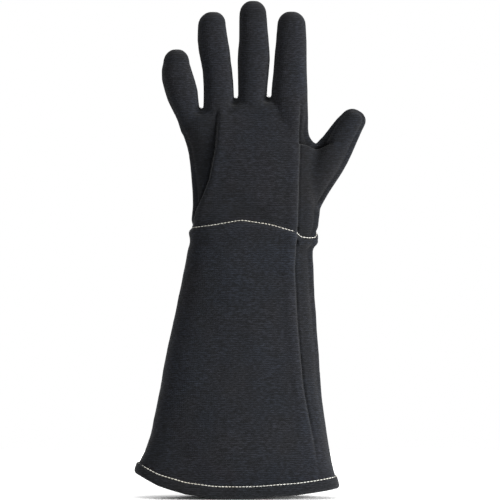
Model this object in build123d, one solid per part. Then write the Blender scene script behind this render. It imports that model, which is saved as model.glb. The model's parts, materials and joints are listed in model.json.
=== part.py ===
"""Long-cuffed heat resistant glove for a left hand, fingers up, in millimetres.

X runs to the thumb side, Y from the back of the hand to the palm, and Z from the cuff's mouth to the fingertips.
The origin is the middle of the cuff's mouth, at the level of the hem's lowest edge.
Every stall, the hand and the cuff is a shell of three layers: woven outer cloth, insulating felt and a thin lining.
The outer cloth is cut in a back and a palm panel, and seam strips lie between the two.
"""

import os
from math import radians, tan

from build123d import *

os.makedirs("parts", exist_ok=True)

# Layers, from the outside in
cloth = 1.6
felt = 2.4
lining = 0.8
slack = 0.15  # between one layer and the next
seam_width = 0.4  # the sewn edge between the back and the palm panel
seam_gap = 0.1  # from a seam strip to the panel beside it

# Whole glove
wrist_height = 246.0  # the wrist hinge line above the hem's lowest edge
wrist_centre = 15.0  # the wrist's middle lies this far to the thumb side of the mouth's middle
wrist_width = 119.0
wrist_depth = 42.0
wrist_swing = 25.0  # degrees each way from straight
mouth_width = 187.0
mouth_depth = 52.0
joint_gap = 0.4  # clear space on each side of a hinge
overrun = 14.0  # how far a loft runs past the plane that trims it
bore_spare = 2.0  # how far a finger's way into the hand runs past the hand's closed end

# Cuff and hem
cuff_corner = 0.42  # corner radius of a section as a share of its depth
hem_height = 10.5
hem_thick = 1.7
hem_left = 22.4  # the hem's lower edge at the little finger side
hem_right = 8.2  # and at the thumb side
hem_low_x = -3.0  # where it is lowest
thread = 0.9
thread_stand = 0.5  # how far a stitch row stands off the cloth

# Hand: height of a section, its left and right edges, and its depth
hand_sections = [
    (wrist_height - overrun, wrist_centre - wrist_width / 2, wrist_centre + wrist_width / 2, wrist_depth),
    (276.0, -42.0, 77.0, 41.0),
    (306.0, -44.0, 76.0, 40.0),
    (334.0, -51.0, 69.0, 37.0),
    (350.0, -60.5, 67.0, 34.0),
    (350.0 + 2 * overrun, -60.5, 67.0, 32.0),
]
hand_corner = 0.44

# Digits: base centre x and z, how far towards the palm, lean to the thumb side in degrees, length,
# radius at the base, at the belly and at the tip, belly's share of the length, depth over width
digits = {
    "little_finger": dict(x=-46.9, z=352.5, y=0.0, lean=-12.5, length=59.8,
                          base=12.4, belly=14.8, tip=13.9, at=0.42, flat=0.84),
    "ring_finger": dict(x=-17.6, z=361.5, y=0.0, lean=-4.7, length=85.7,
                        base=15.2, belly=14.8, tip=13.2, at=0.45, flat=0.84),
    "middle_finger": dict(x=13.7, z=365.0, y=0.0, lean=0.6, length=91.6,
                          base=15.3, belly=15.6, tip=12.8, at=0.35, flat=0.83),
    "index_finger": dict(x=47.5, z=365.8, y=0.0, lean=2.4, length=81.2,
                         base=17.5, belly=15.9, tip=13.6, at=0.38, flat=0.80),
    "thumb": dict(x=88.3, z=318.0, y=3.0, lean=33.5, length=45.0,
                  base=15.6, belly=13.9, tip=10.8, at=0.45, flat=0.84),
}
fingers = [name for name in digits if name != "thumb"]
thumb_root_length = 50.0  # how far the thumb's root runs back into the hand
thumb_root_spread = 1.28  # and how much wider it is there
thumb_root_neck = 0.94  # its width just past the thumb's base, so it meets the thumb's curve
thumb_clear = 4.0  # how far past the thumb's base, towards the hand, the cut above it reaches

# The insets of the layers' outer and inner faces
cloth_in = cloth
felt_out = cloth_in + slack
felt_in = felt_out + felt
lining_out = felt_in + slack
lining_in = lining_out + lining
layers = {"felt": (felt_out, felt_in), "lining": (lining_out, lining_in)}
far = 400.0  # larger than the glove, for cutting blocks


def slab(low, high):
    """Everything from y = low to y = high."""
    return Pos(0, (low + high) / 2, far / 2) * Box(2 * far, high - low, 3 * far)


def panels(shell, name, middle, seams):
    """Splits an outer shell into a back panel, a palm panel and the named seam strips between them."""
    half = seam_width / 2
    strips = sorted((shell & slab(middle - half, middle + half)).solids(), key=lambda strip: strip.volume)
    long_strips = sorted(strips[-len(seams):], key=lambda strip: strip.center().X + strip.center().Z)
    return {
        f"{name}_back_panel": shell & slab(-far, middle - half - seam_gap),
        f"{name}_palm_panel": shell & slab(middle + half + seam_gap, far),
        **dict(zip(seams, long_strips)),
    }


def rounded_section(height, left, right, depth, corner, inset):
    """A rounded rectangle across the glove, brought in by inset."""
    width = right - left - 2 * inset
    deep = depth - 2 * inset
    radius = max(corner * depth - inset, 1.0)
    return Pos((left + right) / 2, 0, height) * RectangleRounded(width, deep, radius)


def lofted(sections, corner, inset):
    return loft([rounded_section(*section, corner, inset) for section in sections])


# Digits

def place(digit):
    """From a digit's own frame, with its length along Z and its base at zero, to the glove's."""
    return Location((digit["x"], digit["y"], digit["z"]), (0, digit["lean"], 0))


def stall_side(digit, inset):
    """The outline of a digit from its base to its tip, brought in by inset."""
    length = digit["length"]
    base, belly, tip = (digit[key] - inset for key in ("base", "belly", "tip"))
    shoulder = (tip, length - digit["tip"])
    side = Spline((base, 0), (belly, digit["at"] * length), shoulder, tangents=[(0, 1), (0, 1)])
    return [side, RadiusArc(shoulder, (0, length - inset), -tip)]


def stall_shell(digit, outside, inside):
    """One layer of a digit, open at its base."""
    outer = stall_side(digit, outside)
    inner = stall_side(digit, inside)
    tip = Line(outer[1] @ 1, inner[1] @ 1)
    rim = Line(outer[0] @ 0, inner[0] @ 0)
    wall = Plane.XZ * make_face([*outer, tip, *inner, rim])
    return place(digit) * revolve(wall, Axis.Z, 360).scale((1, digit["flat"], 1), about=(0, 0, 0))


def bore(digit, inset):
    """The way from a digit down into the hand, just deep enough to pass the hand's closed end."""
    width = digit["base"] - inset
    mouth = extrude(Ellipse(width, width * digit["flat"]), inset + joint_gap + bore_spare, both=True)
    return place(digit) * mouth


# Hand

def bases(lowered):
    """A block over the hand, whose underside follows the fingers' bases, lowered by that much."""
    top = 600.0
    points = []
    row = [digits[name] for name in fingers]
    for number, digit in enumerate(row):
        slope = tan(radians(-digit["lean"]))
        left = -far
        right = far
        if number > 0:
            before = row[number - 1]
            left = (before["x"] + before["base"] + digit["x"] - digit["base"]) / 2
        if number < len(row) - 1:
            after = row[number + 1]
            right = (digit["x"] + digit["base"] + after["x"] - after["base"]) / 2
        ends = [max(left, digit["x"] - 2 * digit["base"]), min(right, digit["x"] + 2 * digit["base"])]
        points += [(end, digit["z"] - lowered + slope * (end - digit["x"])) for end in ends]
    outline = [(points[0][0] - far, points[0][1]), *points, (points[-1][0] + far, points[-1][1])]
    outline += [(outline[-1][0], top), (outline[0][0], top)]
    return extrude(Plane.XZ * make_face(Polyline(*outline, close=True)), far, both=True)


def thumb_root(inset):
    """The root of the thumb, from inside the hand out past the thumb's base."""
    digit = digits["thumb"]
    sections = []
    for along, wide in ((-thumb_root_length, thumb_root_spread), (0.0, 1.0), (overrun / 2, thumb_root_neck)):
        width = digit["base"] * wide - inset
        depth = digit["base"] * digit["flat"] * wide - inset
        sections.append(Pos(0, 0, along) * Ellipse(width, depth))
    return place(digit) * loft(sections)


def above_thumb_base():
    digit = digits["thumb"]
    near = -digit["base"] - thumb_clear
    return place(digit) * Pos(near + far / 8, 0, far / 8 - joint_gap) * Box(far / 4, far / 4, far / 4)


def wrist_wedge(side):
    """The space that the wrist's swing needs: over the cuff for side -1, and under the hand for side 1."""
    rise = far * tan(radians(wrist_swing / 2)) * side
    start = wrist_height + joint_gap * side
    back = wrist_height - far * side
    points = [(-far, start + rise), (0, start), (far, start + rise), (far, back), (-far, back)]
    return extrude(Plane.YZ * make_face(Polyline(*points, close=True)), far, both=True)


def hand_body(inset):
    """The hand and the root of the thumb as one solid, brought in by inset at the sides."""
    return lofted(hand_sections, hand_corner, inset) + thumb_root(inset)


def hand_shell(outside, inside):
    """One layer of the hand: open at the wrist, at the thumb's base and into every finger."""
    shell = hand_body(outside) - bases(outside + joint_gap)
    shell -= hand_body(inside) - bases(inside + joint_gap)
    shell -= above_thumb_base()
    for name in fingers:
        shell -= bore(digits[name], inside)
    return shell - wrist_wedge(1)


# Cuff

cuff_sections = [
    (-overrun, -96.5, 94.5, mouth_depth),
    (30.0, -91.5, 89.5, mouth_depth),
    (100.0, -71.0, 77.5, 50.0),
    (182.0, -55.0, 72.5, 46.0),
    (wrist_height, wrist_centre - wrist_width / 2, wrist_centre + wrist_width / 2, wrist_depth),
    (wrist_height + overrun, wrist_centre - wrist_width / 2, wrist_centre + wrist_width / 2, wrist_depth),
]


def hem_block(raised):
    """Everything under the hem's curved edge, raised by that much."""
    side = mouth_width / 2
    edge = ThreePointArc((-side, hem_left + raised), (hem_low_x, raised), (side, hem_right + raised))
    left = edge @ 0 - (edge % 0) * overrun
    right = edge @ 1 + (edge % 1) * overrun
    outline = [
        edge,
        Line(edge @ 1, right),
        Polyline(right, (right.X, -far), (left.X, -far), left),
        Line(left, edge @ 0),
    ]
    return extrude(Plane.XZ * make_face(outline), far, both=True)


def cuff_body(inset):
    return lofted(cuff_sections, cuff_corner, inset)


def cuff_shell(outside, inside):
    """One layer of the cuff, open at the wrist and at the mouth."""
    return cuff_body(outside) - cuff_body(inside) - hem_block(0.0) - wrist_wedge(-1)


def build():
    parts = {}
    for name, digit in digits.items():
        parts |= panels(stall_shell(digit, 0.0, cloth_in), name, digit["y"], [f"{name}_seam"])
        for layer, (outside, inside) in layers.items():
            parts[f"{name}_{layer}"] = stall_shell(digit, outside, inside)

    hand_seams = ["hand_outer_seam", "hand_inner_seam", "thumb_root_seam", "thumb_web_seam"]
    parts |= panels(hand_shell(0.0, cloth_in), "hand", 0.0, hand_seams)
    for layer, (outside, inside) in layers.items():
        parts[f"hand_{layer}"] = hand_shell(outside, inside)

    parts |= panels(cuff_shell(0.0, cloth_in), "cuff", 0.0, ["cuff_outer_seam", "cuff_inner_seam"])
    for layer, (outside, inside) in layers.items():
        parts[f"cuff_{layer}"] = cuff_shell(outside, inside)

    # the folded hem stands outside the cuff's cloth, and its stitch row sits on its upper edge
    around = cuff_body(-slack - hem_thick) - cuff_body(-slack)
    parts["hem_band"] = around & (hem_block(hem_height) - hem_block(0.0))
    row = cuff_body(-slack - thread_stand) - cuff_body(-slack)
    parts["hem_stitching"] = row & (hem_block(hem_height + thread + slack) - hem_block(hem_height + slack))
    row_height = wrist_height - wrist_depth / 2 * tan(radians(wrist_swing / 2)) - 2 * thread
    belt = Pos(0, 0, row_height) * Box(far, far, thread)
    parts["wrist_stitching"] = row & belt
    return parts


for node, shape in build().items():
    export_step(shape, f"parts/{node}.step")
    print(node, len(shape.solids()), round(shape.volume, 1))
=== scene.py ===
import bmesh
import bpy
import json
import math
import numpy as np
from mathutils import Matrix, Vector, noise


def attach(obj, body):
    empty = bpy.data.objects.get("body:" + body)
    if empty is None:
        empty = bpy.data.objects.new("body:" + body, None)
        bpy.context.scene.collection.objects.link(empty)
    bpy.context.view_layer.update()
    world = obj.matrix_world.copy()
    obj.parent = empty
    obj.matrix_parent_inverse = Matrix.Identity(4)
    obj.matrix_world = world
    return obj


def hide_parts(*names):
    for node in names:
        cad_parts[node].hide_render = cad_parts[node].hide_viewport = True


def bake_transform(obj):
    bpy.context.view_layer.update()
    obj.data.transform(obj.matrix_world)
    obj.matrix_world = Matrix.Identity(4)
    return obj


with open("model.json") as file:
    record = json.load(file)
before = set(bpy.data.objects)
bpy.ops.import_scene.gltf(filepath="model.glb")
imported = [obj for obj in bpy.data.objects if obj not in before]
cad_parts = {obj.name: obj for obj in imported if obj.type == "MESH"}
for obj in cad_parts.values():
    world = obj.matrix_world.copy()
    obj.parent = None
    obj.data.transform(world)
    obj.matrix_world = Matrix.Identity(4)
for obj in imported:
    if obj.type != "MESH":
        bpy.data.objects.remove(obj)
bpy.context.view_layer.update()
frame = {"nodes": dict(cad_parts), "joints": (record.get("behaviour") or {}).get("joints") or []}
hinges = {joint["child"]: joint for joint in frame["joints"]}
mm = 0.001
wristZ = hinges["hand"]["pos_m"][2] / mm
print("frame loaded:", len(frame["nodes"]), "pieces")

# The whole skin is lofted, gathered into one mesh, creased, and then cut along its seams.

skin = {
    "voxel": 1.25,      # grid of the finished cloth
    "smooth": 3,
    "segments": 64,
    "cloth": 1.5,       # thickness of the outer cloth
    "hemTop": 12.0,
}

# rows of each form: height, left edge, right edge, depth, all in mm
cuffRows = [
    (-6, -94, 93.5, 52), (0, -93.8, 93.3, 52), (10.5, -91, 90.8, 52), (27, -85.2, 87.2, 51.5), (45, -80.8, 84.3, 51),
    (64, -77.4, 81.8, 50), (91, -72.8, 78, 49), (137, -64.1, 75, 47),
    (182, -54.9, 72, 45), (210, -49, 70.9, 43.5), (219, -47.2, 70, 43), (228, -45.4, 69.6, 42.5),
    (238, -44.2, 73.2, 42.5), (246, -43, 74.1, 41.5), (256, -42.6, 75.6, 40.5), (265, -41.2, 77, 40.5),
    (283, -41.4, 75.6, 40.5), (301, -43, 74.5, 40), (318, -45, 74.4, 38), (325, -46.8, 74.4, 37),
    (328, -48.2, 67.6, 36.5), (338, -51.2, 66.6, 33.5), (346, -54.6, 65.8, 29.5), (351, -56.5, 65, 26),
    (355, -56.5, 62, 21), (357.5, -52, 57, 12),
]
webRows = [(340, -30, 63, 30), (352, -28, 62, 26.5), (359, -22, 58, 22.5), (363.5, -12, 50, 18), (366, -4, 42, 13),
           (367.5, 4, 38, 7)]     # the cloth between the fingers
digitForms = {
    "little_finger": {"depth": 0.84, "y": 0.0, "rows": [
        (335, -51, -26), (347, -54.9, -31), (356.4, -59.7, -34.3), (365.5, -64.1, -35.2), (374.7, -67, -36.2),
        (383.8, -69.3, -38.6), (393, -69.6, -41.4), (399.5, -68.2, -43.4)], "tip": (-55.6, 412.6)},
    "ring_finger": {"depth": 0.84, "y": 0.0, "rows": [
        (335, -30, -2), (350, -31.6, -1.8), (364.7, -31.2, -2.6), (374.7, -31.1, -3.0), (383.8, -31.4, -3.6),
        (393, -32.2, -4.4), (402, -33.9, -5.7), (411, -35.7, -6.5), (420.4, -36.6, -8.2), (434, -36.2, -10.2)],
        "tip": (-22.0, 447.0)},
    "middle_finger": {"depth": 0.83, "y": 0.0, "rows": [
        (335, 0.5, 27.5), (350, 0.6, 28), (366, 0.8, 27.4), (374.7, 0.9, 27.8), (383.8, 0.8, 28.6), (393, 0.6, 29.5),
        (402, 0.4, 30.2), (411, 0.9, 30.0), (420.4, 1.8, 29.3), (438.8, 1.8, 27.8), (444, 2.1, 27.3)],
        "tip": (14.7, 457.0)},
    "index_finger": {"depth": 0.80, "y": 0.0, "rows": [
        (335, 31.5, 66), (350, 31, 65.6), (366, 31.2, 65), (374.7, 31.6, 65), (383.8, 32.5, 64.6), (393, 33.5, 64.2),
        (402, 34.0, 64), (411, 34.8, 64), (420.4, 35.7, 63.9), (434, 36.6, 63.2)], "tip": (49.9, 447.2)},
}
thumbForm = {   # across the thumb: left edge, right edge, depth share
    "y": 4.0, "rows": [
        ((44, 288), (76, 266), 0.62), ((56, 304), (87.5, 284), 0.76), ((66, 317), (96.6, 298.5), 0.84),
        ((72, 325), (101.5, 307.5), 0.84), ((79.0, 332.2), (105.6, 316.5), 0.84), ((86.0, 341), (110.0, 326.8), 0.84),
        ((92.2, 348.4), (113.8, 335.4), 0.86), ((97.3, 353.4), (116.6, 341.2), 0.88)],
    "tip": (112.9, 355.6),
}


def stackedRows(rows, centreY, depthOf):
    rings = []
    for row in rows:
        z, left, right = row[:3]
        rings.append(((left + right) / 2, centreY, z, (right - left) / 2, depthOf(row), 0.0))
    return rings


def roundedTip(rings, tipX, tipZ, lean):
    cx, cy, cz, wide, deep, turn = rings[-1]
    steps = 6
    for step in range(1, steps):
        angle = math.pi / 2 * step / steps
        along = math.sin(angle)
        share = math.cos(angle) ** 0.92
        rings.append((cx + (tipX - cx) * along, cy, cz + (tipZ - cz) * along, wide * share, deep * share, lean))
    return rings


def addLoft(bm, rings, power):
    loops = []
    for cx, cy, cz, wide, deep, lean in rings:
        made = bmesh.ops.create_circle(bm, cap_ends=False, segments=skin["segments"], radius=1.0)["verts"]
        for vert in made:
            vert.co.x = math.copysign(abs(vert.co.x) ** (2 / power), vert.co.x)
            vert.co.y = math.copysign(abs(vert.co.y) ** (2 / power), vert.co.y)
        bmesh.ops.scale(bm, vec=(wide, deep, 1), verts=made)
        bmesh.ops.rotate(bm, cent=(0, 0, 0), matrix=Matrix.Rotation(lean, 3, "Y"), verts=made)
        bmesh.ops.translate(bm, vec=(cx, cy, cz), verts=made)
        loops.append(list({edge for vert in made for edge in vert.link_edges}))
    for low, high in zip(loops, loops[1:]):
        bmesh.ops.bridge_loops(bm, edges=low + high)
    for end in (loops[0], loops[-1]):
        bmesh.ops.contextual_create(bm, geom=end)


def newObject(bm, name, scale=1.0):
    mesh = bpy.data.meshes.new(name)
    bm.to_mesh(mesh)
    bm.free()
    if scale != 1.0:
        mesh.transform(Matrix.Scale(scale, 4))
    piece = bpy.data.objects.new(name, mesh)
    bpy.context.scene.collection.objects.link(piece)
    return piece


def applyModifiers(piece):
    graph = bpy.context.evaluated_depsgraph_get()
    made = bpy.data.meshes.new_from_object(piece.evaluated_get(graph))
    piece.modifiers.clear()
    old = piece.data
    piece.data = made
    bpy.data.meshes.remove(old)


def smoothStep(low, high, value):
    t = np.clip((value - low) / (high - low), 0, 1)
    return t * t * (3 - 2 * t)


folds = {
    "rightFold": [(20, 73.2), (54, 68.6), (100, 60.4), (158, 54.9), (210, 52.4), (244, 54.9), (326, 57.6), (367, 57.6)],
    "rightDepth": [(12, 0.0), (60, 1.2), (120, 2.4), (200, 3.6), (246, 4.2), (320, 4.0), (345, 2.2), (366, 0.0)],
    "leftFold": [(246, -43), (263, -38.4), (277, -32), (292, -25.6), (305, -22.9), (322, -19.2), (344, -17.4), (360, -16.5)],
    "leftDepth": [(243, 0.0), (252, 2.6), (270, 4.2), (320, 4.0), (338, 2.4), (352, 1.0), (358, 0.0)],
    "wristArch": [(-46, 1.4), (-42.5, 1.5), (-20, 4.3), (3.7, 8.6), (30, 4.6), (54.9, -2.6), (57, -6.6), (78, -10.0)],
    "hemCurve": [(-97, 24.6), (-93.8, 22.4), (-72.3, 11.4), (-46.7, 3.8), (-21, 0.4), (0, 0.0), (16.5, 0.3), (55.8, 3.2),
                 (93.3, 8.2), (97, 8.8)],
    "waves": 0.9,
}


def readTable(table, value):
    return np.interp(value, [row[0] for row in table], [row[1] for row in table])


# Forms

softBody = {"voxel": 4.5, "frames": 18, "pressure": 2.6, "cap": 3.2, "stiffness": 18, "bending": 1.2}


def formObject(name, lofts):
    formBm = bmesh.new()
    for rings, power in lofts:
        addLoft(formBm, rings, power)
    bmesh.ops.recalc_face_normals(formBm, faces=formBm.faces)
    return newObject(formBm, name, mm)


def voxelRemesh(piece, size):
    grid = piece.modifiers.new("grid", "REMESH")
    grid.mode = "VOXEL"
    grid.voxel_size = size * mm
    applyModifiers(piece)


def swellCloth(piece):          # the cuff and hand swell between the stitched lines, which hold still
    voxelRemesh(piece, softBody["voxel"])
    held = piece.vertex_groups.new(name="stitched")
    start = [vert.co.copy() for vert in piece.data.vertices]
    for vert in piece.data.vertices:
        px, py, pz = (value / mm for value in vert.co)
        onSeam = abs(py) < 3.5 and abs(vert.normal.x) > 0.5
        onFold = vert.normal.y < -0.3 and 12 < pz < 345 and abs(px - readTable(folds["rightFold"], pz) - 1) < 2.4
        if pz < 15 or abs(pz - wristZ) < 3.5 or onSeam or onFold or pz > 348:
            held.add([vert.index], 1.0, "REPLACE")
    cloth = piece.modifiers.new("cloth", "CLOTH")
    cloth.settings.vertex_group_mass = "stitched"
    cloth.settings.quality = 5
    cloth.settings.mass = 0.25
    cloth.settings.tension_stiffness = softBody["stiffness"]
    cloth.settings.compression_stiffness = softBody["stiffness"]
    cloth.settings.bending_stiffness = softBody["bending"]
    cloth.settings.use_pressure = True
    cloth.settings.uniform_pressure_force = softBody["pressure"]
    cloth.settings.effector_weights.gravity = 0
    cloth.point_cache.frame_end = softBody["frames"]
    for number in range(1, softBody["frames"] + 1):
        bpy.context.scene.frame_set(number)
    applyModifiers(piece)
    for vert, before in zip(piece.data.vertices, start):
        move = vert.co - before
        if move.length > softBody["cap"] * mm:
            vert.co = before + move.normalized() * softBody["cap"] * mm
    bpy.context.scene.frame_set(1)
    print("cuff and hand swelled")


def joinInto(target, others):
    joined = bmesh.new()
    for piece in [target] + others:
        joined.from_mesh(piece.data)
    old = target.data
    joined.to_mesh(old)
    joined.free()
    for piece in others:
        bpy.data.objects.remove(piece)


def halfDepth(row):
    return row[3] / 2


master = formObject("master", [(stackedRows(cuffRows, 0.0, halfDepth), 2.7)])
swellCloth(master)
rounding = master.modifiers.new("rounding", "SUBSURF")
rounding.levels = rounding.render_levels = 1
applyModifiers(master)
lofts = [(stackedRows(webRows, 0.0, halfDepth), 2.3)]
for name, form in digitForms.items():
    rings = stackedRows(form["rows"], form["y"], lambda row, share=form["depth"]: (row[2] - row[1]) / 2 * share)
    lofts.append((roundedTip(rings, *form["tip"], 0.0), 2.15))
thumbRings = []
for (leftX, leftZ), (rightX, rightZ), share in thumbForm["rows"]:
    half = math.hypot(rightX - leftX, rightZ - leftZ) / 2
    thumbRings.append(((leftX + rightX) / 2, thumbForm["y"], (leftZ + rightZ) / 2, half, half * share,
                       math.atan2(leftZ - rightZ, rightX - leftX)))
lofts.append((roundedTip(thumbRings, *thumbForm["tip"], thumbRings[-1][5]), 2.1))
joinInto(master, [formObject("stall", [loft]) for loft in lofts])
voxelRemesh(master, skin["voxel"])
print("skin gathered:", len(master.data.vertices))

# Cuts along the seams: at the hem's top edge, at the wrist, at each stall's base and down both sides

fingerNames = list(digitForms)
digitNames = fingerNames + ["thumb"]
bases = {}
for name in digitNames:
    turn = hinges[name]["axis"]
    along = Vector((turn[2], 0, -turn[0])).normalized()
    at = Vector(hinges[name]["pos_m"]) / mm
    bases[name] = {"at": Vector((at.x, 0, at.z)), "along": along, "across": Vector((along.z, 0, -along.x))}
bases["thumb"]["at"] -= bases["thumb"]["along"] * 2
bm = bmesh.new()
bm.from_mesh(master.data)
bmesh.ops.scale(bm, vec=(1 / mm,) * 3, verts=bm.verts)
for _ in range(skin["smooth"]):
    bmesh.ops.smooth_vert(bm, verts=bm.verts, factor=0.5, use_axis_x=True, use_axis_y=True, use_axis_z=True)


def cutAt(point, normal, near=None, clearBelow=False):
    faces = [face for face in bm.faces if near is None or near(face.calc_center_median())]
    geom = list({vert for face in faces for vert in face.verts}) + list({edge for face in faces for edge in face.edges})
    bmesh.ops.bisect_plane(bm, geom=geom + faces, dist=0.02, plane_co=point, plane_no=normal, clear_inner=clearBelow)


cutAt((0, 0, 0), (0, 0, 1), lambda centre: centre.z < 4, True)
cutAt((0, 0, 0), (0, 1, 0), lambda centre: abs(centre.y) < 4)
cutAt((0, 0, skin["hemTop"]), (0, 0, 1), lambda centre: abs(centre.z - skin["hemTop"]) < 4)
cutAt((0, 0, wristZ), (0, 0, 1), lambda centre: abs(centre.z - wristZ) < 4)
for name, base in bases.items():
    reach = 20 if name != "thumb" else 22
    cutAt(base["at"], base["along"], lambda centre: abs((centre - base["at"]).dot(base["along"])) < 4
          and abs((centre - base["at"]).dot(base["across"])) < reach)
bmesh.ops.remove_doubles(bm, verts=bm.verts, dist=0.12)


def stallAt(point):
    best = None
    for name, base in bases.items():
        offset = point - base["at"]
        if name == "thumb":
            if offset.dot(base["along"]) > 0 and abs(offset.dot(base["across"])) < 19.5 and point.x > 70:
                return "thumb"
            continue
        side = abs(offset.dot(base["across"]))
        if offset.dot(base["along"]) > -20 and (best is None or side < best[0]):
            best = (side, name, offset.dot(base["along"]) > 0)
    return best[1] if best and best[2] and best[0] < 26 else None


bodyLayer = bm.faces.layers.int.new("body")
sideLayer = bm.faces.layers.int.new("side")
bodyNames = ["hem", "cuff", "hand"] + digitNames
for face in bm.faces:
    centre = face.calc_center_median()
    if centre.z < skin["hemTop"]:
        owner = "hem"
    elif centre.z < wristZ:
        owner = "cuff"
    else:
        owner = (stallAt(centre) if centre.z > 300 else None) or "hand"
    face[bodyLayer] = bodyNames.index(owner)
    face[sideLayer] = 0 if centre.y < 0 else 1
print("seams cut:", len(bm.faces))

# Creases, folds and the hem's curve, worked into the skin before it is taken apart

bm.normal_update()
count = len(bm.verts)
bm.verts.index_update()
bm.verts.ensure_lookup_table()
place = np.array([vert.co for vert in bm.verts])
facing = np.array([vert.normal for vert in bm.verts])
ends = np.array([[edge.verts[0].index, edge.verts[1].index] for edge in bm.edges])
for _ in range(8):                # evened out, so that the moves below stay smooth
    total = facing.copy()
    np.add.at(total, ends[:, 0], facing[ends[:, 1]])
    np.add.at(total, ends[:, 1], facing[ends[:, 0]])
    facing = total / np.maximum(np.linalg.norm(total, axis=1, keepdims=True), 1e-9)
x, y, z = place.T
back = smoothStep(0.05, 0.5, -facing[:, 1])
palm = smoothStep(0.05, 0.5, facing[:, 1])
inward = np.zeros(count)          # how far each point moves in along its normal

# right fold: the side behind it turns back, and a groove runs down it
s = x - readTable(folds["rightFold"], z)
depth = readTable(folds["rightDepth"], z)
inward += back * depth * np.where(s > 0, 1 - np.exp(-np.maximum(s, 0) / 1.6), 0)
inward += back * np.minimum(depth, 1.6) * 1.2 * np.exp(-((s - 1.4) / 1.3) ** 2)
inward -= back * np.minimum(depth, 2) * 0.5 * np.exp(-((s + 5) / 5) ** 2)
inward += palm * depth * 0.35 * np.exp(-((s - 4) / 7) ** 2)

# left fold
s = readTable(folds["leftFold"], z) - x
depth = readTable(folds["leftDepth"], z)
inward += back * depth * np.where(s > 0, (1 - np.exp(-np.maximum(s, 0) / 1.6)) * np.exp(-s / 60), 0)
inward += back * np.minimum(depth, 2.0) * 1.5 * np.exp(-((s - 1.3) / 1.4) ** 2)
inward -= back * np.minimum(depth, 2) * 0.4 * np.exp(-((s + 5) / 5) ** 2)

# the thumb's piece ends in a level edge under the index finger
web = back * smoothStep(56, 59, x) * smoothStep(90, 78, x)
inward += web * 3.0 * np.exp(-((z - 327.0) / 1.3) ** 2)
inward += web * 1.6 * smoothStep(326.4, 327.6, z) * smoothStep(345, 333, z)

# the hand dips in above the wrist's stitching, and the cuff swells under it
rise = z - wristZ
inward += 1.5 * np.exp(-((rise - 3.5) / 3.2) ** 2)
inward += back * 2.6 * np.exp(-((x - 10) / 24) ** 2 - ((rise - 13) / 8.5) ** 2)
inward += palm * 1.4 * np.exp(-((x - 20) / 26) ** 2 - ((rise - 12) / 9) ** 2)
inward -= 1.3 * np.exp(-((rise + 4) / 3.4) ** 2)
inward += 0.9 * np.exp(-((rise - 0.3) / 0.9) ** 2)
inward += 0.9 * np.exp(-((rise + 13) / 5) ** 2)

# sewn edges down both sides
edge = smoothStep(0.5, 0.85, np.abs(facing[:, 0])) * (1 - 0.6 * smoothStep(74, 80, x))
inward += edge * 0.75 * np.exp(-(y / 1.2) ** 2) * smoothStep(10, 14, z)
inward -= edge * 0.25 * np.exp(-((np.abs(y) - 3.2) / 1.6) ** 2)

# dimples where the stalls part
for cx, cz in ((-33.4, 355.5), (-1.6, 364.0), (28.9, 367.0), (75, 327.5)):
    inward += 2.4 * np.exp(-((x - cx + 1.5) ** 2 / (2 * 3.6 ** 2) + (z - cz + 1) ** 2 / (2 * 2.2 ** 2))) * (back + palm)

# soft waves
for index in range(count):
    where = Vector((x[index] * 0.021, y[index] * 0.03, z[index] * 0.014))
    wave = noise.noise(where) + 0.45 * noise.noise(where * 2.7 + Vector((7, 3, 5)))
    inward[index] += folds["waves"] * wave * min(max((z[index] - 8) / 30, 0), 1.0 if z[index] < 350 else 0.55)

place -= facing * inward[:, None]

# the wrist's seam arches on the back, and the hem curves
x = place[:, 0]
lift = readTable(folds["wristArch"], x) * smoothStep(10, -8, y)
place[:, 2] += lift * np.exp(-(rise / 26.0) ** 2)
place[:, 2] += readTable(folds["hemCurve"], x) * (1 - smoothStep(0, 110, z))
for vert, co in zip(bm.verts, place):
    vert.co = co
bmesh.ops.smooth_vert(bm, verts=[vert for vert in bm.verts if not vert.is_boundary], factor=0.3,
                      use_axis_x=True, use_axis_y=True, use_axis_z=True)
bm.normal_update()
shadeLayer = bm.verts.layers.float.new("shade")       # painted shade and painted highlight: 0.5 is plain cloth, darker in the grooves, lighter on raised ridges
# painted shade: the fingertips darken towards their ends
paintedTipShade = smoothStep(0, 12, z - 345 - np.where(x < -33, 52, np.where(x > 70, -1, 88)))
for vert, deep, tip in zip(bm.verts, inward, paintedTipShade):
    vert[shadeLayer] = min(max(0.5 - 0.07 * deep - 0.2 * tip, 0), 1)
print("folds worked in")

# Cloth

def inputOf(node, name, value):
    node.inputs[name].default_value = value


def groupNode(tree, group, **values):
    node = tree.nodes.new("ShaderNodeGroup")
    node.node_tree = group
    for name, value in values.items():
        node.inputs[name].default_value = value
    return node


def mathNode(tree, operation, first, second=None, third=None):
    node = tree.nodes.new("ShaderNodeMath")
    node.operation = operation
    for socket, value in zip(node.inputs, (first, second, third)):
        if value is None:
            continue
        if isinstance(value, (int, float)):
            socket.default_value = value
        else:
            tree.links.new(value, socket)
    return node.outputs[0]


def noiseNode(tree, vector, scale, detail, stretch=(1, 1, 1)):
    mapping = tree.nodes.new("ShaderNodeMapping")
    mapping.inputs["Scale"].default_value = stretch
    tree.links.new(vector, mapping.inputs["Vector"])
    node = tree.nodes.new("ShaderNodeTexNoise")
    inputOf(node, "Scale", scale)
    inputOf(node, "Detail", detail)
    tree.links.new(mapping.outputs[0], node.inputs["Vector"])
    return node.outputs["Fac"]


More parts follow.
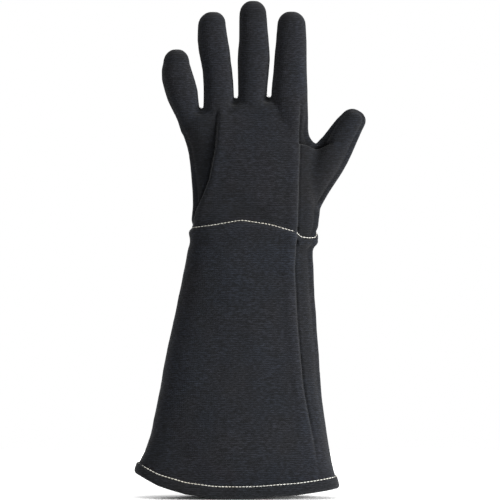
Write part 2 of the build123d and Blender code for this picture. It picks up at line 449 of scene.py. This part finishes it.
def knitGroup():
    group = bpy.data.node_groups.new("ribbed knit", "ShaderNodeTree")
    for name, kind, way in (("Vector", "NodeSocketVector", "INPUT"), ("Rib Pitch", "NodeSocketFloat", "INPUT"),
                            ("Fuzz", "NodeSocketFloat", "INPUT"), ("Height", "NodeSocketFloat", "OUTPUT"),
                            ("Fleck", "NodeSocketFloat", "OUTPUT"), ("Patch", "NodeSocketFloat", "OUTPUT")):
        group.interface.new_socket(name=name, in_out=way, socket_type=kind)
    start = group.nodes.new("NodeGroupInput")
    end = group.nodes.new("NodeGroupOutput")
    vector = start.outputs["Vector"]
    split = group.nodes.new("ShaderNodeSeparateXYZ")
    group.links.new(vector, split.inputs[0])
    wander = noiseNode(group, vector, 140.0, 2.0)
    height = mathNode(group, "MULTIPLY_ADD", wander, 0.0011, split.outputs["Z"])
    turns = mathNode(group, "MULTIPLY", mathNode(group, "DIVIDE", height, start.outputs["Rib Pitch"]), 2 * math.pi)
    ribs = mathNode(group, "MULTIPLY_ADD", mathNode(group, "SINE", turns), 0.5, 0.5)
    across = mathNode(group, "ADD", split.outputs["X"], mathNode(group, "MULTIPLY", split.outputs["Y"], 1.3))
    acrossTurns = mathNode(group, "MULTIPLY_ADD", wander, 5.0, mathNode(group, "MULTIPLY", across, 2 * math.pi / 0.0012))
    wales = mathNode(group, "MULTIPLY_ADD", mathNode(group, "SINE", acrossTurns), 0.5, 0.5)
    fibre = noiseNode(group, vector, 1500.0, 2.0, (1, 1, 2.2))
    fibreShare = mathNode(group, "MULTIPLY", fibre, start.outputs["Fuzz"])
    woven = mathNode(group, "MULTIPLY_ADD", ribs, 0.6, mathNode(group, "MULTIPLY", wales, 0.25))
    group.links.new(mathNode(group, "ADD", woven, fibreShare), end.inputs["Height"])
    broken = noiseNode(group, vector, 620.0, 3.0, (0.45, 0.45, 1.9))
    rows = mathNode(group, "MULTIPLY", ribs, 0.14)
    group.links.new(mathNode(group, "MULTIPLY_ADD", broken, 0.9, rows), end.inputs["Fleck"])
    group.links.new(noiseNode(group, vector, 26.0, 3.0), end.inputs["Patch"])
    return group


knit = knitGroup()


def colourRamp(tree, factor, stops):
    node = tree.nodes.new("ShaderNodeValToRGB")
    while len(node.color_ramp.elements) < len(stops):
        node.color_ramp.elements.new(0.5)
    for element, (position, colour) in zip(node.color_ramp.elements, stops):
        element.position = position
        element.color = (*colour, 1)
    tree.links.new(factor, node.inputs["Fac"])
    return node.outputs["Color"]


def clothMaterial(name, look):
    material = bpy.data.materials.new(name)
    material.use_nodes = True
    tree = material.node_tree
    shader = tree.nodes["Principled BSDF"]
    inputOf(shader, "Specular IOR Level", look.get("specular", 0.12))
    inputOf(shader, "Sheen Weight", look.get("sheen", 0.06))
    inputOf(shader, "Sheen Roughness", 0.6)
    rest = tree.nodes.new("ShaderNodeAttribute")
    rest.attribute_name = "restPlace"
    pattern = groupNode(tree, knit, **{"Rib Pitch": look["pitch"], "Fuzz": look["fuzz"]})
    tree.links.new(rest.outputs["Vector"], pattern.inputs["Vector"])
    fleck = colourRamp(tree, pattern.outputs["Fleck"], [(0.30, look["dark"]), (0.50, look["mid"]), (0.74, look["light"])])
    patch = colourRamp(tree, pattern.outputs["Patch"], [(0.35, look["warm"]), (0.65, look["cool"])])
    tint = tree.nodes.new("ShaderNodeMix")
    tint.data_type = "RGBA"
    tint.blend_type = "MULTIPLY"
    tint.inputs["Factor"].default_value = 1.0
    tree.links.new(fleck, tint.inputs["A"])
    tree.links.new(patch, tint.inputs["B"])
    # painted shade and painted highlight: the shade attribute darkens grooves and fingertips and lightens raised ridges
    # in the base colour
    shade = tree.nodes.new("ShaderNodeAttribute")
    shade.attribute_name = "shade"
    paintedShading = colourRamp(tree, shade.outputs["Fac"], [(0.0, (0.25,) * 3), (0.5, (1.0,) * 3), (0.72, (1.45,) * 3)])
    shadedBaseColour = tree.nodes.new("ShaderNodeMix")
    shadedBaseColour.data_type = "RGBA"
    shadedBaseColour.blend_type = "MULTIPLY"
    shadedBaseColour.inputs["Factor"].default_value = 1.0
    tree.links.new(tint.outputs["Result"], shadedBaseColour.inputs["A"])
    tree.links.new(paintedShading, shadedBaseColour.inputs["B"])
    tree.links.new(shadedBaseColour.outputs["Result"], shader.inputs["Base Color"])
    tree.links.new(mathNode(tree, "MULTIPLY_ADD", pattern.outputs["Fleck"], -0.15, 0.97), shader.inputs["Roughness"])
    bump = tree.nodes.new("ShaderNodeBump")
    inputOf(bump, "Strength", look["bump"])
    inputOf(bump, "Distance", 0.0004)
    tree.links.new(pattern.outputs["Height"], bump.inputs["Height"])
    tree.links.new(bump.outputs[0], shader.inputs["Normal"])
    return material


looks = {
    "outer": {"pitch": 0.00165, "fuzz": 0.6, "bump": 0.5, "dark": (0.0007, 0.0010, 0.0014),
              "mid": (0.0032, 0.0038, 0.0052), "light": (0.0120, 0.0140, 0.0185),
              "warm": (1.06, 0.95, 0.94), "cool": (0.92, 1.0, 1.14)},
    "hem": {"pitch": 0.00165, "fuzz": 0.6, "bump": 0.5, "dark": (0.0008, 0.0010, 0.0012),
            "mid": (0.0036, 0.0041, 0.0050), "light": (0.0120, 0.0132, 0.0158),
            "warm": (1.05, 0.96, 0.95), "cool": (0.93, 1.0, 1.1)},
    "felt": {"pitch": 0.004, "fuzz": 1.2, "bump": 0.6, "dark": (0.09, 0.09, 0.09), "mid": (0.17, 0.17, 0.17),
             "light": (0.26, 0.26, 0.26), "warm": (1.0, 0.97, 0.94), "cool": (0.95, 0.98, 1.0)},
    "lining": {"pitch": 0.0009, "fuzz": 0.2, "bump": 0.6, "dark": (0.05, 0.05, 0.053), "mid": (0.085, 0.085, 0.09),
               "light": (0.13, 0.13, 0.14), "warm": (1.0, 0.97, 0.95), "cool": (0.95, 0.98, 1.0)},
    "thread": {"pitch": 0.0005, "fuzz": 0.6, "bump": 0.5, "dark": (0.30, 0.29, 0.26), "mid": (0.52, 0.51, 0.46),
               "light": (0.72, 0.71, 0.66), "warm": (1.0, 0.95, 0.88), "cool": (0.96, 0.98, 1.0)},
    "seamThread": {"pitch": 0.0005, "fuzz": 0.6, "bump": 0.5, "dark": (0.005, 0.005, 0.006),
                   "mid": (0.012, 0.012, 0.014), "light": (0.03, 0.03, 0.034),
                   "warm": (1.0, 0.97, 0.95), "cool": (0.95, 0.98, 1.0)},
}
materials = {name: clothMaterial(name, look) for name, look in looks.items()}

# Pieces

def finishPiece(piece, look, body, nodes):
    mesh = piece.data
    mesh.materials.clear()
    mesh.materials.append(materials[look])
    coordinates = np.zeros(len(mesh.vertices) * 3, dtype=np.float32)
    mesh.vertices.foreach_get("co", coordinates)
    mesh.attributes.new("restPlace", "FLOAT_VECTOR", "POINT").data.foreach_set("vector", coordinates)
    if "shade" not in mesh.attributes:
        mesh.attributes.new("shade", "FLOAT", "POINT").data.foreach_set("value", np.full(len(mesh.vertices), 0.5))
    if body == "cuff":
        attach(piece, "cuff")
    elif body == "hand":
        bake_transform(piece)
    else:
        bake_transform(piece)
    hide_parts(*nodes)
    return piece


def cutOut(source, body, side=None):
    part = source.copy()
    owner = part.faces.layers.int["body"]
    way = part.faces.layers.int["side"]
    number = bodyNames.index(body)
    others = [face for face in part.faces if face[owner] != number or (side is not None and face[way] != side)]
    bmesh.ops.delete(part, geom=others, context="FACES")
    return part


def thicken(part, inset, thickness):
    part.normal_update()
    normals = [vert.normal.copy() for vert in part.verts]
    for vert, normal in zip(part.verts, normals):
        vert.co -= normal * inset
    normalAt = {tuple(vert.co): normal for vert, normal in zip(part.verts, normals)}
    made = bmesh.ops.extrude_face_region(part, geom=list(part.faces), use_keep_orig=True)["geom"]
    for vert in made:
        if isinstance(vert, bmesh.types.BMVert):
            vert.co -= normalAt[tuple(vert.co)] * thickness
    bmesh.ops.recalc_face_normals(part, faces=part.faces)
    part.normal_update()
    for face in part.faces:
        face.smooth = True
    for edge in part.edges:
        edge.smooth = len(edge.link_faces) == 2 and edge.calc_face_angle(0) < 0.9


def outerPanel(body, side, number):
    part = cutOut(bm, body, number)
    thicken(part, 0.0, skin["cloth"])
    return newObject(part, body + "_" + side + "_cloth", mm)


bodies = ["cuff", "hand"] + digitNames
for body in bodies:
    for number, side in enumerate(("back", "palm")):
        finishPiece(outerPanel(body, side, number), "outer", body, [body + "_" + side + "_panel"])
print("outer cloth made")

# Felt and lining follow the skin on the inside

layers = {"felt": {"inset": 1.7, "thick": 2.3, "fill": 0.6}, "lining": {"inset": 4.2, "thick": 0.8, "fill": 0.1}}
for body in bodies:
    for layer, size in layers.items():
        coarse = newObject(cutOut(bm, body), "coarse")
        thin = coarse.modifiers.new("thin", "DECIMATE")
        thin.ratio = 0.14
        applyModifiers(coarse)
        part = bmesh.new()
        part.from_mesh(coarse.data)
        bpy.data.objects.remove(coarse)
        thicken(part, size["inset"], size["thick"])
        finishPiece(newObject(part, body + "_" + layer + "_layer", mm), layer, body, [body + "_" + layer])
print("felt and lining made")

# Hem: a folded band round the mouth, turned from the outside over the edge to the inside

hemForm = {"segments": 220, "fold": [(0.5, 11.8), (1.15, 11.3), (1.5, 9.8), (1.6, 6.0), (1.5, 3.0), (1.0, 1.1), (-0.2, 0.2),
           (-2.0, 0.0), (-3.8, 0.3), (-5.0, 1.3), (-5.5, 3.2), (-5.6, 8.5), (-5.2, 10.9), (-4.2, 11.9), (-1.5, 12.3)]}
band = bmesh.new()
loops = []
for out, height in hemForm["fold"]:
    left, right, deep = (readTable([(row[0], row[column]) for row in cuffRows], height) for column in (1, 2, 3))
    made = bmesh.ops.create_circle(band, cap_ends=False, segments=hemForm["segments"], radius=1.0)["verts"]
    for vert in made:
        vert.co.x = math.copysign(abs(vert.co.x) ** (2 / 2.7), vert.co.x)
        vert.co.y = math.copysign(abs(vert.co.y) ** (2 / 2.7), vert.co.y)
    bmesh.ops.scale(band, vec=((right - left) / 2 + out, deep / 2 + out, 1), verts=made)
    bmesh.ops.translate(band, vec=((left + right) / 2, 0, height), verts=made)
    loops.append(list({edge for vert in made for edge in vert.link_edges}))
for low, high in zip(loops, loops[1:] + loops[:1]):
    bmesh.ops.bridge_loops(band, edges=low + high)
bmesh.ops.recalc_face_normals(band, faces=band.faces)
for vert in band.verts:
    ripple = noise.noise(Vector((vert.co.x * 0.06, vert.co.y * 0.06, 2.0)))
    vert.co.z += readTable(folds["hemCurve"], vert.co.x) * (1 - smoothStep(0, 110, vert.co.z)) + 0.35 * ripple
    vert.co.y += 0.5 * ripple * (1 if vert.co.y > 0 else -1)
for face in band.faces:
    face.smooth = True
finishPiece(newObject(band, "hem_fold", mm), "hem", "cuff", ["hem_band"])
print("hem made")

# Stitches, one small body of thread for each

stitching = {
    "topstitch": {"pitch": 3.1, "long": 2.9, "thick": 0.42, "stand": 0.25},
    "seam": {"pitch": 2.4, "long": 1.9, "thick": 0.26, "stand": -0.1},
}


def seamChains(test):
    links = {}
    for edge in bm.edges:
        if len(edge.link_faces) == 2 and test(*edge.link_faces):
            first, second = edge.verts
            links.setdefault(first.index, []).append(second.index)
            links.setdefault(second.index, []).append(first.index)
    chains = []
    left = set(links)
    while left:
        ends = [index for index in left if len(links[index]) == 1]
        here = min(ends) if ends else min(left)
        chain = [here]
        left.discard(here)
        while True:
            onward = [index for index in links[chain[-1]] if index in left]
            if not onward:
                break
            chain.append(onward[0])
            left.discard(onward[0])
        if not ends:
            chain.append(chain[0])
        if len(chain) > 8:
            chains.append(chain)
    return chains


def stitchRow(name, chains, size, shiftAlong=0.0):
    rowBm = bmesh.new()
    for chain in chains:
        points = np.array([bm.verts[index].co for index in chain])
        normals = np.array([bm.verts[index].normal for index in chain])
        for _ in range(8):
            points[1:-1] = (points[:-2] + 2 * points[1:-1] + points[2:]) / 4
        run = np.concatenate([[0], np.cumsum(np.linalg.norm(np.diff(points, axis=0), axis=1))])
        count = max(int(run[-1] / size["pitch"]), 1)
        for number in range(count):
            middle = (number + 0.5) * run[-1] / count
            low, high = middle - size["long"] / 2, middle + size["long"] / 2
            first, centre, last = (Vector([np.interp(where, run, points[:, axis]) for axis in range(3)])
                                   for where in (low, middle, high))
            normal = Vector([np.interp(middle, run, normals[:, axis]) for axis in range(3)]).normalized()
            way = (last - first).normalized()
            cross = normal.cross(way).normalized()
            turn = Matrix((way, cross, way.cross(cross))).transposed().to_4x4()
            made = bmesh.ops.create_uvsphere(rowBm, u_segments=6, v_segments=5, radius=1.0)["verts"]
            bmesh.ops.rotate(rowBm, cent=(0, 0, 0), matrix=Matrix.Rotation(math.pi / 2, 3, "Y"), verts=made)
            bmesh.ops.scale(rowBm, vec=(size["long"] / 2, size["thick"], size["thick"] * 0.8), verts=made)
            seat = centre + normal * size["stand"] + Vector((0, 0, shiftAlong))
            bmesh.ops.transform(rowBm, matrix=Matrix.Translation(seat) @ turn, verts=made)
    for face in rowBm.faces:
        face.smooth = True
    bmesh.ops.recalc_face_normals(rowBm, faces=rowBm.faces)
    return newObject(rowBm, name, mm)


bm.verts.index_update()
bm.verts.ensure_lookup_table()


def between(first, second):
    pair = {bodyNames.index(first), bodyNames.index(second)}
    return lambda a, b: {a[bodyLayer], b[bodyLayer]} == pair


def downSides(body):
    number = bodyNames.index(body)
    return lambda a, b: a[bodyLayer] == b[bodyLayer] == number and a[sideLayer] != b[sideLayer]


finishPiece(stitchRow("wrist_topstitch", seamChains(between("cuff", "hand")), stitching["topstitch"]), "thread", "cuff",
            ["wrist_stitching"])
hemRow = dict(stitching["topstitch"], stand=1.55)
finishPiece(stitchRow("hem_topstitch", seamChains(between("hem", "cuff")), hemRow, -0.6), "thread", "cuff",
            ["hem_stitching"])
sideNodes = {"cuff": ["cuff_outer_seam", "cuff_inner_seam"],
             "hand": ["hand_outer_seam", "hand_inner_seam", "thumb_root_seam", "thumb_web_seam"]}
for body in bodies:
    row = stitchRow(body + "_side_stitches", seamChains(downSides(body)), stitching["seam"])
    finishPiece(row, "seamThread", body, sideNodes.get(body, [body + "_seam"]))
print("stitches made")
bm.free()
bpy.data.objects.remove(master)

# Floor, lights and camera

def paleFloor():
    floorBm = bmesh.new()
    bmesh.ops.create_grid(floorBm, x_segments=1, y_segments=1, size=0.6)
    bmesh.ops.translate(floorBm, vec=(0, 0, -0.0006), verts=floorBm.verts)
    floor = newObject(floorBm, "floor")
    material = bpy.data.materials.new("floor")
    material.use_nodes = True
    shader = material.node_tree.nodes["Principled BSDF"]
    inputOf(shader, "Base Color", (0.96, 0.96, 0.96, 1))
    inputOf(shader, "Roughness", 0.9)
    floor.data.materials.append(material)


def softLight(name, place, aim, size, power):
    light = bpy.data.lights.new(name, "AREA")
    light.shape = "RECTANGLE"
    light.size, light.size_y = size
    light.energy = power
    lamp = bpy.data.objects.new(name, light)
    lamp.location = place
    lamp.rotation_euler = (Vector(aim) - Vector(place)).to_track_quat("-Z", "Y").to_euler()
    bpy.context.scene.collection.objects.link(lamp)


paleFloor()
world = bpy.data.worlds.new("studio")
world.use_nodes = True
sky = world.node_tree.nodes["Background"]
seen = world.node_tree.nodes.new("ShaderNodeBackground")
inputOf(sky, "Color", (1.0, 1.0, 1.0, 1))
inputOf(sky, "Strength", 0.42)
inputOf(seen, "Color", (1.0, 1.0, 1.0, 1))
inputOf(seen, "Strength", 1.0)
lightPath = world.node_tree.nodes.new("ShaderNodeLightPath")
mixSky = world.node_tree.nodes.new("ShaderNodeMixShader")
world.node_tree.links.new(lightPath.outputs["Is Camera Ray"], mixSky.inputs[0])
world.node_tree.links.new(sky.outputs[0], mixSky.inputs[1])
world.node_tree.links.new(seen.outputs[0], mixSky.inputs[2])
world.node_tree.links.new(mixSky.outputs[0], world.node_tree.nodes["World Output"].inputs["Surface"])
bpy.context.scene.world = world
bpy.context.scene.view_settings.view_transform = "Standard"
middle = (0.012, 0, 0.23)
softLight("key", (1.5, -0.75, 0.32), middle, (0.6, 0.8), 70)
softLight("fill", (-1.1, -1.5, 0.4), middle, (0.8, 1.2), 5)
softLight("back", (-0.2, 1.6, 0.8), middle, (1.2, 0.8), 22)
softLight("top", (0, 0, 2.2), (0, 0, 0), (2.0, 2.0), 30)

camera = bpy.data.objects.new("camera", bpy.data.cameras.new("camera"))
bpy.context.scene.collection.objects.link(camera)
camera.data.lens = 200
camera.data.sensor_width = 36
frameWidth = 0.4605
camera.location = (0.0119, -frameWidth * 200 / 36, 0.2273)
camera.rotation_euler = (math.pi / 2, 0, 0)
camera.data.clip_end = 50
bpy.context.scene.camera = camera
